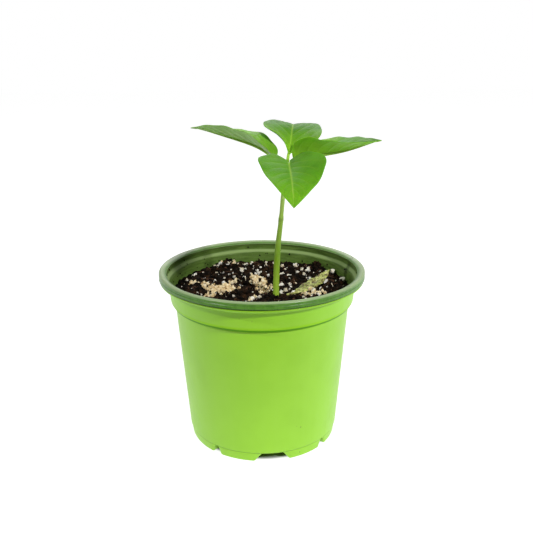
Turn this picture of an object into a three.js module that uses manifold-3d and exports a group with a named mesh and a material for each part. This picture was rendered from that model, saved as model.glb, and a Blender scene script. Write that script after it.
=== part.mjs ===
// A young bell pepper plant in a two-colour nursery pot. Millimetres, +Z up.
// The origin is the middle of the pot's base, on the surface that the pot stands on.
import * as THREE from 'three';
import { mergeVertices } from 'three/addons/utils/BufferGeometryUtils.js';
import Module from 'manifold-3d';

const wasm = await Module();
wasm.setup();

// ---------------------------------------------------------------- driving dimensions

const GAP = 0.3; // clearance between touching pieces
const UP = new THREE.Vector3(0, 0, 1);

// Pot: a thin moulded cup with a rolled lip, a stepped collar and nine feet.
const POT_HEIGHT = 103;
const SHEET = 0.8; // wall thickness
const POT_SEGMENTS = 72;
const LIP_RADIUS = 60;
const LIP_FOOT_Z = 98.6;
const LIP_CROWN = { radius: 57.2, z: 102.3 }; // on the slope from the crest to the inner edge
const LIP_INNER = { radius: 55.5, z: 101.3 };
const RECESS = { radius: 56.4, low: 97.9, high: 100.6 }; // inside, under the lip's inner edge
const BEAD = { radius: 59.4, z: 97.1 }; // thin roll under the lip
const NECK = { radius: 57.2, z: 97 }; // upper end of the flare from the collar
const COLLAR_TOP = { radius: 54.6, z: 95 };
const COLLAR_FOOT = { radius: 53.7, z: 85.6 };
const GROOVE = { radius: 51.2, z: 83.1 }; // where the body meets the collar's step
const CREASE = { radius: 44.7, z: 5.5 }; // lower end of the body
const FOOT_RADIUS = 43.7;
const FOOT_INNER_RADIUS = 38.4;
const FLOOR_Z = 5.5; // underside of the raised floor
const NOTCH_COUNT = 8;
const WIDE_EVERY = 4; // every fourth notch is a wide one, starting with the first
const FIRST_NOTCH_ANGLE = 6.8; // degrees from the front, towards +X
const WIDE_NOTCH = { top: 12, foot: 20.8 };
const NARROW_NOTCH = { top: 2, foot: 6.4 };
const DRAIN = { radius: 35.6, width: 8, depth: 5.5 }; // slot through the floor behind each wide notch

// Soil
const SOIL_Z = 89.4; // mean height of the surface
const SOIL_FLOOR_Z = FLOOR_Z + SHEET + GAP;
const SOIL_SEGMENTS = 48;
const SOIL_RINGS = [50.5, 46, 41.5, 37, 32.5, 28, 23.5, 19, 14.5, 10, 5.5, 2];
const SEED = 20247;

// Perlite, scattered over the surface, and lighter crumbs gathered in patches
const PERLITE = { count: 64, least: 0.8, most: 1.7, reach: 50 };
const PATCHES = [
  { x: -25, y: -2, spread: [9, 6], count: 16 },
  { x: -30, y: -13, spread: [4, 3], count: 4 },
  { x: -1, y: 9, spread: [4, 14], count: 13 },
  { x: 32, y: -9, spread: [7, 4], count: 5 },
];
const CRUMB = { least: 0.8, most: 1.6 };

// Stem: points up its middle with the radius there
const STEM_FOOT_Z = 66;
const STEM = [
  { at: [7.9, -12.3, STEM_FOOT_Z], radius: 1.6 },
  { at: [8.0, -12.2, 90.1], radius: 1.7 },
  { at: [8.5, -11.4, 107.1], radius: 1.75 },
  { at: [9.35, -10.5, 119.9], radius: 1.6 },
  { at: [10.8, -9.6, 132.4], radius: 1.3 },
  { at: [12.2, -8.5, 147.6], radius: 1.25 },
  { at: [14.1, -7.1, 164.7], radius: 1.45 },
];
const STEM_SIDES = 12;
const STEM_STEPS = 26;
const SCAR = { z: 134, rise: 0.3, reach: 1.6 }; // ring left by the shed seed leaves

// Leaves
const BLADE_THICKNESS = 0.7;
const BLADE_STEPS = { along: 18, across: 10 };
const BLADE_START = 0.012; // share of the length where the blade's base edge lies
const TIP_HALF_WIDTH = 0.3;
const PETIOLE_RADIUS = 0.95;
const RIB_END = 0.8; // share of the blade that the midrib stands out under
const RIB_END_RADIUS = 0.4;
const RIB_SIDES = 8;
// Places from base to tip where a blade's outline gives its half width
const LEAF_OUTLINE_AT = [0, 0.04, 0.12, 0.25, 0.42, 0.6, 0.78, 0.92, 1];
const SEED_LEAF_OUTLINE_AT = [0, 0.08, 0.25, 0.5, 0.75, 0.92, 1];
// Angles in degrees. azimuth: 0 points to the front (-Y), 90 to +X. halfWidth: the widest of the left
// and of the right half, looking from base to tip. outline: the half width from base to tip, as a share
// of the widest. rise: the slope of the midrib at four even places, base to tip. roll and fold: at
// base, middle and tip. fold is the lift of each half above flat, and curl its bend as a share of the
// width. leftFold and leftCurl are what the left half has on top of that. lobe is how far the base
// reaches back.
const LEAVES = {
  leaf_front: {
    base: [14.6, -8.7, 162.4], azimuth: 1.7, turn: -0.4, petiole: 13.1, petioleRise: 35,
    length: 41.4, halfWidth: [19.6, 18.1], outline: [0, 0.46, 0.73, 1, 0.89, 0.7, 0.42, 0.17, 0],
    rise: [-11.6, -13.4, -25.4, -48.2], roll: [0.4, -4.5, 10.5], fold: [36, 21.3, 12.7],
    leftFold: [6.3, -15, 4.5], curl: 0.02, leftCurl: -0.01, lobe: 5,
    wave: { height: 0.3, count: 3, phase: 0.4 },
  },
  leaf_back: {
    base: [14.6, -5.4, 163.9], azimuth: 169.5, turn: 8.8, petiole: 7.9, petioleRise: 60,
    length: 48.1, halfWidth: [18, 18.3], outline: [0, 0.49, 0.87, 1, 0.95, 0.78, 0.48, 0.17, 0],
    rise: [17.2, 33.2, -5.6, -23.6], roll: [-6.6, -6.6, -6.5], fold: [42.7, 16.1, 20],
    leftFold: [32.6, -5.7, 12.6], curl: -0.11, leftCurl: 0.06, lobe: 1.8,
    wave: { height: 0.3, count: 3, phase: 2.1 },
  },
  leaf_left: {
    base: [12.8, -7.1, 163], azimuth: -100.4, turn: -5, petiole: 9.5, petioleRise: 41,
    length: 48.9, halfWidth: [16.1, 15.3], outline: [0, 0.51, 0.75, 1, 0.86, 0.73, 0.47, 0.15, 0],
    rise: [45.8, 16, 13.6, 0.3], roll: [3.9, 0.2, -1.8], fold: [20.6, 18.5, 14.3],
    leftFold: [-15.7, 3.7, -0.8], curl: -0.07, leftCurl: 0.24, lobe: 3.4,
    wave: { height: 0.3, count: 4, phase: 1.2 },
  },
  leaf_right: {
    base: [15.8, -7.6, 163.5], azimuth: 67.4, turn: -15.8, petiole: 8.5, petioleRise: 41,
    length: 47.7, halfWidth: [18.5, 15.7], outline: [0, 0.47, 0.86, 1, 0.91, 0.75, 0.44, 0.15, 0],
    rise: [23.4, 10.6, 18.1, 11.7], roll: [11.3, 6.7, -6.2], fold: [39.6, 22.4, 12.1],
    leftFold: [-8.2, 4.3, 0.2], curl: 0.01, leftCurl: 0, lobe: 5.1,
    wave: { height: 0.3, count: 4, phase: 0 },
  },
};
// The shed seed leaf lies with its stalk end in the soil and its tip a little raised.
const FALLEN_LEAF = {
  base: [19.6, -10.4, 90.6], azimuth: 141.5, turn: 2,
  length: 36.5, halfWidth: [4.2, 4.2], outline: [0.25, 0.55, 0.9, 1, 0.72, 0.3, 0],
  rise: [4, 3, 9, 17], roll: [-4, -8, -12], fold: [14, 10, 8],
  leftFold: [0, 0, 0], curl: -0.25, leftCurl: 0, lobe: 0,
  wave: { height: 0.5, count: 4, phase: 0.7 },
  outlineAt: SEED_LEAF_OUTLINE_AT, steps: { along: 12, across: 6 },
};
const FALLEN_STALK = { to: [14.2, -13.9, 90.6], radius: 0.75 };

const COLOURS = {
  pot: 0x8ec63a,
  soil: 0x2a1c15,
  stem: 0x86a84a,
  leaf: 0x5b9c35,
  fallenLeaf: 0xa9ad6a,
};

// ---------------------------------------------------------------- small helpers

const radians = THREE.MathUtils.degToRad;

// The same random numbers on every run
function randomSource(seed) {
  let state = seed >>> 0;
  return () => {
    state = (Math.imul(state, 1664525) + 1013904223) >>> 0;
    return state / 4294967296;
  };
}

// Smooth curve through the values at the given places
function smoothThrough(places, values, x) {
  const last = places.length - 1;
  const slope = (i) => {
    const a = Math.max(i - 1, 0);
    const b = Math.min(i + 1, last);
    return (values[b] - values[a]) / (places[b] - places[a]);
  };
  let i = 0;
  while (i < last - 1 && x >= places[i + 1]) i += 1;
  const h = places[i + 1] - places[i];
  const s = (x - places[i]) / h;
  return (
    (2 * s ** 3 - 3 * s ** 2 + 1) * values[i] +
    (s ** 3 - 2 * s ** 2 + s) * h * slope(i) +
    (3 * s ** 2 - 2 * s ** 3) * values[i + 1] +
    (s ** 3 - s ** 2) * h * slope(i + 1)
  );
}

// Parabola through three even values
function throughThree([a, b, c], t) {
  return a * (1 - t) * (1 - 2 * t) + 4 * b * t * (1 - t) + c * t * (2 * t - 1);
}

// Cubic through four even values
function throughFour([a, b, c, d], t) {
  const x = 3 * t;
  return (
    (a * (1 - x) * (2 - x) * (3 - x)) / 6 +
    (b * x * (2 - x) * (3 - x)) / 2 +
    (c * x * (x - 1) * (3 - x)) / 2 +
    (d * x * (x - 1) * (x - 2)) / 6
  );
}

// A closed geometry as a solid: only its positions count, and vertices in one place are one vertex
function toSolid(geometry) {
  const bare = new THREE.BufferGeometry();
  bare.setAttribute('position', geometry.getAttribute('position').clone());
  bare.setIndex(geometry.getIndex());
  const merged = mergeVertices(bare, 1e-4);
  const index = merged.getIndex().array;
  const triangles = [];
  for (let i = 0; i < index.length; i += 3) {
    const [a, b, c] = [index[i], index[i + 1], index[i + 2]];
    if (a !== b && b !== c && c !== a) triangles.push(a, b, c);
  }
  const mesh = new wasm.Mesh({
    numProp: 3,
    vertProperties: new Float32Array(merged.getAttribute('position').array),
    triVerts: new Uint32Array(triangles),
  });
  return new wasm.Manifold(mesh);
}

// A solid back as a geometry, without any scrap that a cut leaves loose
function toGeometry(solid) {
  const largest = solid.decompose().reduce((a, b) => (b.volume() > a.volume() ? b : a));
  const mesh = largest.getMesh();
  const geometry = new THREE.BufferGeometry();
  geometry.setAttribute('position', new THREE.BufferAttribute(mesh.vertProperties, 3));
  geometry.setIndex(new THREE.BufferAttribute(mesh.triVerts, 1));
  geometry.computeVertexNormals();
  return geometry;
}

function unite(solids) {
  return solids.reduce((a, b) => a.add(b));
}

// Solid of revolution round Z from [radius, z] pairs, listed up the outside from the axis
function revolve(profile, segments) {
  const points = profile.map(([radius, z]) => new THREE.Vector2(radius, z));
  return new THREE.LatheGeometry(points, segments).rotateX(Math.PI / 2);
}

// Tapered rod along a curve. radiusAt gives the radius at a share of the length.
function rodAlong(curve, radiusAt, sides, steps) {
  const profile = [new THREE.Vector2(0, 0)];
  for (let i = 0; i <= steps; i += 1) profile.push(new THREE.Vector2(radiusAt(i / steps), i));
  profile.push(new THREE.Vector2(0, steps));
  const rod = new THREE.LatheGeometry(profile, sides);
  const { normals, binormals } = curve.computeFrenetFrames(steps, false);
  const position = rod.getAttribute('position');
  const point = new THREE.Vector3();
  for (let i = 0; i < position.count; i += 1) {
    const ring = Math.round(position.getY(i));
    curve.getPointAt(ring / steps, point);
    point.addScaledVector(normals[ring], position.getX(i));
    point.addScaledVector(binormals[ring], -position.getZ(i));
    position.setXYZ(i, point.x, point.y, point.z);
  }
  return rod;
}

function makeMesh(name, solid, colour, roughness) {
  const material = new THREE.MeshStandardMaterial({ color: colour, roughness, metalness: 0 });
  const mesh = new THREE.Mesh(toGeometry(solid), material);
  mesh.name = name;
  return mesh;
}

// ---------------------------------------------------------------- pot

// Outside of the pot from the raised floor over the crest of the lip
function potOutside() {
  return [
    [0, FLOOR_Z],
    [FOOT_INNER_RADIUS, FLOOR_Z],
    [FOOT_INNER_RADIUS + 0.5, 0.7],
    [FOOT_INNER_RADIUS + 1.1, 0],
    [FOOT_RADIUS - 0.9, 0],
    [FOOT_RADIUS - 0.1, 0.7],
    [CREASE.radius - 0.4, CREASE.z - 0.5],
    [CREASE.radius, CREASE.z + 0.5],
    [GROOVE.radius - 0.3, GROOVE.z - 1.2],
    [GROOVE.radius, GROOVE.z],
    [COLLAR_FOOT.radius - 0.5, COLLAR_FOOT.z - 0.6],
    [COLLAR_FOOT.radius, COLLAR_FOOT.z + 0.4],
    [COLLAR_TOP.radius, COLLAR_TOP.z],
    [NECK.radius, NECK.z],
    [BEAD.radius - 0.5, BEAD.z],
    [BEAD.radius, BEAD.z + 0.5],
    [BEAD.radius, LIP_FOOT_Z - 0.3],
    [LIP_RADIUS, LIP_FOOT_Z + 0.2],
    [LIP_RADIUS, POT_HEIGHT - 1.4],
    [LIP_RADIUS - 0.4, POT_HEIGHT - 0.4],
    [LIP_RADIUS - 1.3, POT_HEIGHT],
    [LIP_CROWN.radius, LIP_CROWN.z],
  ];
}

// Inside of the pot, from the top of the floor up to above the lip
function potInside() {
  return [
    [0, FLOOR_Z + SHEET],
    [FOOT_INNER_RADIUS + SHEET, FLOOR_Z + SHEET],
    [FOOT_INNER_RADIUS + 1.4, SHEET],
    [FOOT_RADIUS - 1, SHEET],
    [CREASE.radius - SHEET, CREASE.z],
    [GROOVE.radius - SHEET, GROOVE.z],
    [COLLAR_FOOT.radius - SHEET, COLLAR_FOOT.z],
    [COLLAR_TOP.radius - SHEET, COLLAR_TOP.z + 0.5],
    [RECESS.radius - 0.1, RECESS.low],
    [RECESS.radius, RECESS.high],
    [LIP_INNER.radius, LIP_INNER.z],
    [LIP_CROWN.radius, LIP_CROWN.z],
    [LIP_CROWN.radius, POT_HEIGHT + 1],
    [0, POT_HEIGHT + 1],
  ];
}

// Prism across the foot ring at one notch: a trapezoid, wider at the foot. grow widens it all round.
function notchPrism({ angle, width }, grow) {
  const top = width.top / 2 + grow;
  const foot = width.foot / 2 + grow;
  const below = 2;
  const spread = ((foot - top) / CREASE.z) * below;
  const shape = new THREE.Shape([
    new THREE.Vector2(-foot - spread, -below),
    new THREE.Vector2(foot + spread, -below),
    new THREE.Vector2(top, CREASE.z + grow),
    new THREE.Vector2(-top, CREASE.z + grow),
  ]);
  const inner = FOOT_INNER_RADIUS - 4;
  const prism = new THREE.ExtrudeGeometry(shape, { depth: CREASE.radius + 4 - inner, bevelEnabled: false });
  prism.rotateX(Math.PI / 2);
  prism.translate(0, -inner, 0);
  return toSolid(prism.rotateZ(radians(angle)));
}

// Round-ended drain slot through the floor, just inside a notch
function drainSlot({ angle }) {
  const half = DRAIN.width / 2;
  const round = DRAIN.depth / 2;
  const shape = new THREE.Shape();
  shape.absarc(half - round, 0, round, -Math.PI / 2, Math.PI / 2, false);
  shape.absarc(round - half, 0, round, Math.PI / 2, (3 * Math.PI) / 2, false);
  const slot = new THREE.ExtrudeGeometry(shape, { depth: 4, bevelEnabled: false, curveSegments: 5 });
  slot.translate(0, -DRAIN.radius, FLOOR_Z - 1.5);
  return toSolid(slot.rotateZ(radians(angle)));
}

function makePot() {
  const places = Array.from({ length: NOTCH_COUNT }, (_, i) => ({
    angle: FIRST_NOTCH_ANGLE + (i * 360) / NOTCH_COUNT,
    width: i % WIDE_EVERY === 0 ? WIDE_NOTCH : NARROW_NOTCH,
  }));
  const outside = toSolid(revolve([...potOutside(), [0, LIP_CROWN.z]], POT_SEGMENTS));
  const notches = unite(places.map((place) => notchPrism(place, 0)));
  const grownNotches = unite(places.map((place) => notchPrism(place, SHEET)));
  const cavity = toSolid(revolve(potInside(), POT_SEGMENTS)).subtract(grownNotches);
  const drains = unite(places.filter(({ width }) => width === WIDE_NOTCH).map(drainSlot));
  return outside.subtract(notches).subtract(cavity).subtract(drains);
}

// ---------------------------------------------------------------- stem

function stemRadius(z) {
  const heights = STEM.map(({ at }) => at[2]);
  const radii = STEM.map(({ radius }) => radius);
  const scar = SCAR.rise * Math.exp(-(((z - SCAR.z) / SCAR.reach) ** 2));
  return smoothThrough(heights, radii, z) + scar;
}

// The stem, grown all round by a clearance where a neighbour is to be cut by it
function stemSolid(grow) {
  const points = STEM.map(({ at }) => new THREE.Vector3(...at));
  points[0].z -= grow;
  points[points.length - 1].z += grow;
  const curve = new THREE.CatmullRomCurve3(points, false, 'centripetal');
  const radiusAt = (share) => stemRadius(curve.getPointAt(share).z) + grow;
  return toSolid(rodAlong(curve, radiusAt, STEM_SIDES, STEM_STEPS));
}

// ---------------------------------------------------------------- leaves

function heading(azimuth, rise) {
  const a = radians(azimuth);
  const e = radians(rise);
  return new THREE.Vector3(Math.sin(a) * Math.cos(e), -Math.cos(a) * Math.cos(e), Math.sin(e));
}

// Points along a path that starts at a place and follows a heading that changes with the share gone
function walk(start, length, steps, headingAt) {
  const points = [start.clone()];
  for (let i = 0; i < steps; i += 1) {
    const next = points[i].clone();
    points.push(next.addScaledVector(headingAt((i + 0.5) / steps), length / steps));
  }
  return points;
}

// A leaf's middle line: its stalk, then its blade
function leafLines(leaf) {
  const start = new THREE.Vector3(...leaf.base);
  const stalkRise = (t) => leaf.petioleRise + (leaf.rise[0] - leaf.petioleRise) * t * t;
  const stalk = leaf.petiole
    ? walk(start, leaf.petiole, 6, (t) => heading(leaf.azimuth, stalkRise(t)))
    : [start];
  const bladeHeading = (t) => heading(leaf.azimuth + leaf.turn * t, throughFour(leaf.rise, t));
  const blade = walk(stalk[stalk.length - 1], leaf.length, 60, bladeHeading);
  return { stalk, blade, bladeHeading };
}

// Point of the blade's middle surface: t runs from base to tip, u from one edge (-1) to the other (1)
function bladePoint(leaf, lines, t, u) {
  const along = lines.bladeHeading(t);
  const place = t * (lines.blade.length - 1);
  const i = Math.min(Math.floor(place), lines.blade.length - 2);
  const middle = lines.blade[i].clone().lerp(lines.blade[i + 1], place - i);
  const roll = radians(throughThree(leaf.roll, t));
  const side = new THREE.Vector3().crossVectors(along, UP).normalize().applyAxisAngle(along, -roll);
  const lift = new THREE.Vector3().crossVectors(side, along);
  const share = smoothThrough(leaf.outlineAt ?? LEAF_OUTLINE_AT, leaf.outline, t);
  const width = Math.max(leaf.halfWidth[u < 0 ? 0 : 1] * share, TIP_HALF_WIDTH);
  const fold = radians(throughThree(leaf.fold, t) + (u < 0 ? throughThree(leaf.leftFold, t) : 0));
  const curl = leaf.curl + (u < 0 ? leaf.leftCurl : 0);
  const { height, count, phase } = leaf.wave;
  const wave = height * u * u * share * Math.sin(2 * Math.PI * count * t + phase + u);
  return middle
    .addScaledVector(side, u * width * Math.cos(fold))
    .addScaledVector(lift, Math.abs(u) * width * Math.sin(fold) + u * u * width * curl + wave)
    .addScaledVector(along, -leaf.lobe * u * u * (1 - t) ** 6);
}

// Closed blade of even thickness, with both faces split into triangles alike
function bladeSolid(leaf, lines, thickness) {
  const { along, across } = leaf.steps ?? BLADE_STEPS;
  const middle = [];
  for (let i = 0; i <= along; i += 1) {
    const t = BLADE_START + (1 - BLADE_START) * (i / along) ** 1.2;
    for (let j = 0; j <= across; j += 1) middle.push(bladePoint(leaf, lines, t, (2 * j) / across - 1));
  }
  const row = across + 1;
  const at = (i, j) => middle[THREE.MathUtils.clamp(i, 0, along) * row + THREE.MathUtils.clamp(j, 0, across)];
  const faces = [[], []];
  for (let i = 0; i <= along; i += 1) {
    for (let j = 0; j <= across; j += 1) {
      const lengthwise = at(i + 1, j).clone().sub(at(i - 1, j));
      const crosswise = at(i, j + 1).clone().sub(at(i, j - 1));
      const normal = crosswise.cross(lengthwise).normalize();
      faces[0].push(...at(i, j).clone().addScaledVector(normal, thickness / 2).toArray());
      faces[1].push(...at(i, j).clone().addScaledVector(normal, -thickness / 2).toArray());
    }
  }
  const under = (along + 1) * row;
  const index = [];
  const quad = (a, b, c, d) => index.push(a, b, c, a, c, d);
  for (let i = 0; i < along; i += 1) {
    for (let j = 0; j < across; j += 1) {
      const a = i * row + j;
      index.push(a, a + 1, a + row + 1, a, a + row + 1, a + row);
      const b = under + a;
      index.push(b, b + row + 1, b + 1, b, b + row, b + row + 1);
    }
  }
  for (let i = 0; i < along; i += 1) {
    const left = i * row;
    const right = left + across;
    quad(left, left + row, under + left + row, under + left);
    quad(right + row, right, under + right, under + right + row);
  }
  for (let j = 0; j < across; j += 1) {
    const tip = along * row + j;
    quad(j + 1, j, under + j, under + j + 1);
    quad(tip, tip + 1, under + tip + 1, under + tip);
  }
  const geometry = new THREE.BufferGeometry();
  geometry.setAttribute('position', new THREE.Float32BufferAttribute([...faces[0], ...faces[1]], 3));
  geometry.setIndex(index);
  return toSolid(geometry);
}

// The stalk, carried on under the blade as its midrib
function stalkSolid(leaf, lines) {
  const ribSteps = 5;
  const points = lines.stalk.filter((_, i) => i % 2 === 0);
  for (let i = 1; i <= ribSteps; i += 1) {
    const t = (RIB_END * i) / ribSteps;
    points.push(bladePoint(leaf, lines, t, 0).add(new THREE.Vector3(0, 0, -0.3)));
  }
  const curve = new THREE.CatmullRomCurve3(points, false, 'centripetal');
  const radiusAt = (share) => THREE.MathUtils.lerp(PETIOLE_RADIUS, RIB_END_RADIUS, share);
  return toSolid(rodAlong(curve, radiusAt, RIB_SIDES, 18));
}

function leafSolid(leaf) {
  const lines = leafLines(leaf);
  return bladeSolid(leaf, lines, BLADE_THICKNESS).add(stalkSolid(leaf, lines)).subtract(stemSolid(GAP));
}

// The seed leaf that has dropped on the soil, with its short withered stalk
function fallenLeafSolid(grow) {
  const leaf = { ...FALLEN_LEAF, halfWidth: FALLEN_LEAF.halfWidth.map((width) => width + grow) };
  const blade = bladeSolid(leaf, leafLines(leaf), BLADE_THICKNESS + 2 * grow);
  const from = new THREE.Vector3(...FALLEN_LEAF.base);
  const to = new THREE.Vector3(...FALLEN_STALK.to);
  const inner = from.clone().lerp(to, -0.5);
  const middle = from.clone().lerp(to, 0.5).add(new THREE.Vector3(0.5, -0.6, 0.3));
  const curve = new THREE.CatmullRomCurve3([to, middle, from, inner]);
  const stalk = rodAlong(curve, (share) => FALLEN_STALK.radius * (0.75 + 0.25 * share) + grow, RIB_SIDES, 8);
  return blade.add(toSolid(stalk));
}

// ---------------------------------------------------------------- soil

// Height of the crumbly surface. It climbs a little towards the back wall and dips round the stem.
function soilHeight(x, y) {
  const lumps =
    0.55 * Math.sin(0.31 * x + 0.9) * Math.sin(0.27 * y + 0.4) +
    0.4 * Math.sin(0.62 * x - 0.35 * y + 2) +
    0.3 * Math.sin(0.9 * y + 0.5 * x) +
    0.22 * Math.sin(1.7 * x + 1.1 * y + 0.3) * Math.cos(1.3 * y - 0.6 * x);
  const back = 0.7 * THREE.MathUtils.smoothstep(y, 20, 50);
  const nearStem = Math.hypot(x - STEM[1].at[0], y - STEM[1].at[1]);
  const dip = 0.5 * Math.exp(-((nearStem / 6) ** 2));
  return SOIL_Z + lumps + back - dip;
}

// Radius that the soil reaches at a height, a gap clear of the pot's wall
function soilReach(z) {
  const wall = [CREASE, GROOVE, COLLAR_FOOT, COLLAR_TOP];
  const i = wall.findIndex((edge, k) => k > 0 && (z <= edge.z || k === wall.length - 1));
  const [low, high] = [wall[i - 1], wall[i]];
  return THREE.MathUtils.mapLinear(z, low.z, high.z, low.radius, high.radius) - SHEET - GAP;
}

function soilBody() {
  const profile = [
    [0, SOIL_FLOOR_Z],
    [soilReach(SOIL_FLOOR_Z) - 0.1, SOIL_FLOOR_Z],
    [soilReach(GROOVE.z), GROOVE.z],
    [soilReach(COLLAR_FOOT.z) - 0.1, COLLAR_FOOT.z],
    [soilReach(SOIL_Z), SOIL_Z],
    ...SOIL_RINGS.map((radius) => [radius, SOIL_Z]),
    [0, SOIL_Z],
  ];
  const body = revolve(profile, SOIL_SEGMENTS);
  const position = body.getAttribute('position');
  for (let i = 0; i < position.count; i += 1) {
    if (position.getZ(i) < SOIL_Z - 0.01) continue;
    const [x, y] = [position.getX(i), position.getY(i)];
    const z = soilHeight(x, y);
    const radius = Math.hypot(x, y);
    const pull = radius > SOIL_RINGS[0] + 0.1 ? (soilReach(z) - 0.1) / radius : 1;
    position.setXYZ(i, x * pull, y * pull, z);
  }
  return toSolid(body);
}

// One angular grain, sunk well into the surface
function grain(random, x, y, size) {
  const shape = new THREE.OctahedronGeometry(size, 0);
  shape.scale(0.8 + 0.5 * random(), 0.8 + 0.4 * random(), 0.75 + 0.4 * random());
  shape.rotateX(random() * 3).rotateY(random() * 3).rotateZ(random() * 3);
  shape.translate(x, y, soilHeight(x, y) + 0.12 * size);
  return toSolid(shape);
}

// Grains spread evenly over the disc, and crumbs gathered round each patch
function soilGrains() {
  const random = randomSource(SEED);
  const grains = [];
  for (let i = 0; i < PERLITE.count; i += 1) {
    const angle = i * radians(137.5) + random();
    const radius = PERLITE.reach * Math.sqrt((i + random()) / PERLITE.count);
    const size = THREE.MathUtils.lerp(PERLITE.least, PERLITE.most, random() ** 2);
    grains.push(grain(random, radius * Math.cos(angle), radius * Math.sin(angle), size));
  }
  for (const patch of PATCHES) {
    for (let i = 0; i < patch.count; i += 1) {
      const angle = random() * 2 * Math.PI;
      const reach = Math.sqrt(random());
      const x = patch.x + patch.spread[0] * reach * Math.cos(angle);
      const y = patch.y + patch.spread[1] * reach * Math.sin(angle);
      grains.push(grain(random, x, y, THREE.MathUtils.lerp(CRUMB.least, CRUMB.most, random())));
    }
  }
  return unite(grains);
}

// The soil has a plain hole for the stem and a bed for the fallen leaf
function soilSolid() {
  return soilBody().add(soilGrains()).subtract(stemSolid(GAP)).subtract(fallenLeafSolid(GAP));
}

// ---------------------------------------------------------------- the whole plant

const plant = new THREE.Group();
plant.add(makeMesh('pot', makePot(), COLOURS.pot, 0.4));
plant.add(makeMesh('soil', soilSolid(), COLOURS.soil, 0.95));
plant.add(makeMesh('stem', stemSolid(0), COLOURS.stem, 0.5));
for (const [name, leaf] of Object.entries(LEAVES)) {
  plant.add(makeMesh(name, leafSolid(leaf), COLOURS.leaf, 0.5));
}
plant.add(makeMesh('fallen_leaf', fallenLeafSolid(0), COLOURS.fallenLeaf, 0.8));

export default plant;
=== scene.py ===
"""Looks of the potted bell pepper plant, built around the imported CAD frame.

Lengths are in millimetres and angles in degrees; new_mesh turns points into metres.
"""
import math

import bmesh
import bpy
import numpy as np
from mathutils import Euler, Matrix, Vector, noise


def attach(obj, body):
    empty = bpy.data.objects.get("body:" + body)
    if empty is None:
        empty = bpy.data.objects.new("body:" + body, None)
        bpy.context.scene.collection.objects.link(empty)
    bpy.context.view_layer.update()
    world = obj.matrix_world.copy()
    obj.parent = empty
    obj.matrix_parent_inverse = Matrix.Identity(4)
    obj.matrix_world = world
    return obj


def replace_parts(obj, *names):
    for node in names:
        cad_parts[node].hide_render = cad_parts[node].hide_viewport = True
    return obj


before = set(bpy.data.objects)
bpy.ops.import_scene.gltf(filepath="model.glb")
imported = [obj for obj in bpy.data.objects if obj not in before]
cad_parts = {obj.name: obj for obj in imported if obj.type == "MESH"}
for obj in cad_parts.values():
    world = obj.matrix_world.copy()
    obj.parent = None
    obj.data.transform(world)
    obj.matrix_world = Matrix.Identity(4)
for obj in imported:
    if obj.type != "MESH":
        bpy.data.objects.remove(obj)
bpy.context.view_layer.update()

MM = 0.001
UP = np.array([0.0, 0.0, 1.0])
SEED = 20247

# ---------- driving dimensions

# Pot: a thin moulded cup. Corners are (radius, height, fillet), up the outside and down the inside.
SHEET = 0.8
FLOOR_Z = 5.5
POT_SEGMENTS = 400
OUTSIDE = [
    (0, FLOOR_Z, 0), (38.4, FLOOR_Z, 0.7), (39.1, 0, 0.9), (43.6, 0, 0.9), (44.35, 5.1, 0.1),
    (44.3, 5.7, 0.1), (44.8, 6.3, 0.3), (51.1, 83.0, 0.1), (52.5, 83.6, 0.1), (53.65, 85.6, 1.1),
    (54.6, 95.0, 0.6), (57.2, 97.0, 0.3), (58.7, 97.0, 0.3), (59.5, 97.5, 0.3), (59.5, 98.1, 0.2),
    (59.1, 98.4, 0.05), (60.0, 98.75, 0.15), (59.95, 100.4, 0.2), (59.7, 100.7, 0.1),
    (60.0, 101.0, 0.2), (60.0, 102.2, 0.8), (58.9, 103.0, 0.5), (57.2, 102.4, 0),
]
INSIDE = [
    (57.2, 102.4, 0), (55.5, 101.4, 0.3), (56.1, 100.3, 0.3), (56.2, 97.9, 0.4), (53.8, 95.7, 0.4),
    (52.85, 85.3, 0.9), (50.35, 82.9, 0.7), (43.85, FLOOR_Z + 0.1, 0.9), (42.75, SHEET, 0.8),
    (40.0, SHEET, 0.8), (39.2, FLOOR_Z + SHEET, 0.7), (0, FLOOR_Z + SHEET, 0),
]
TWO_TONE_Z = 98.35  # the dark green shows from here upwards and over the lip
# height of the painted shade line in the groove under the collar
GROOVE_SHADE_Z = 83.8
COLLAR_SHADE_Z = 84.4
# height of the painted shade line along the crease above the feet
FOOT_CREASE_SHADE_Z = 5.7
# height of the painted highlight along the inner ledge
LEDGE_HIGHLIGHT_Z = 96.9
# height of the painted shade line in the gap under the lip's edge
LIP_GAP_SHADE_Z = 98.7
OUTER_CROWN_SHEEN = (0.1016, 0.1027)  # where the painted sheen on the lip's crown sets in and where it is full, in metres
# where the painted sheen on the inner crown sets in and where it is full, in metres
INNER_CROWN_SHEEN = (0.101, 0.1018)

WIDE_NOTCH = {"top": 12.0, "foot": 20.8}
NARROW_NOTCH = {"top": 2.0, "foot": 6.4}
NOTCH = {"count": 8, "first": 6.8, "radius": 44.2}
WIDE_EVERY = 4  # every fourth notch is a wide one, starting with the first
DRAIN = {"radius": 35.6, "width": 8.0, "depth": 5.5}  # behind each wide notch
DRAIN_CUT = (FLOOR_Z - 1.5, FLOOR_Z + 2.5)  # heights, past both faces of the floor

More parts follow.
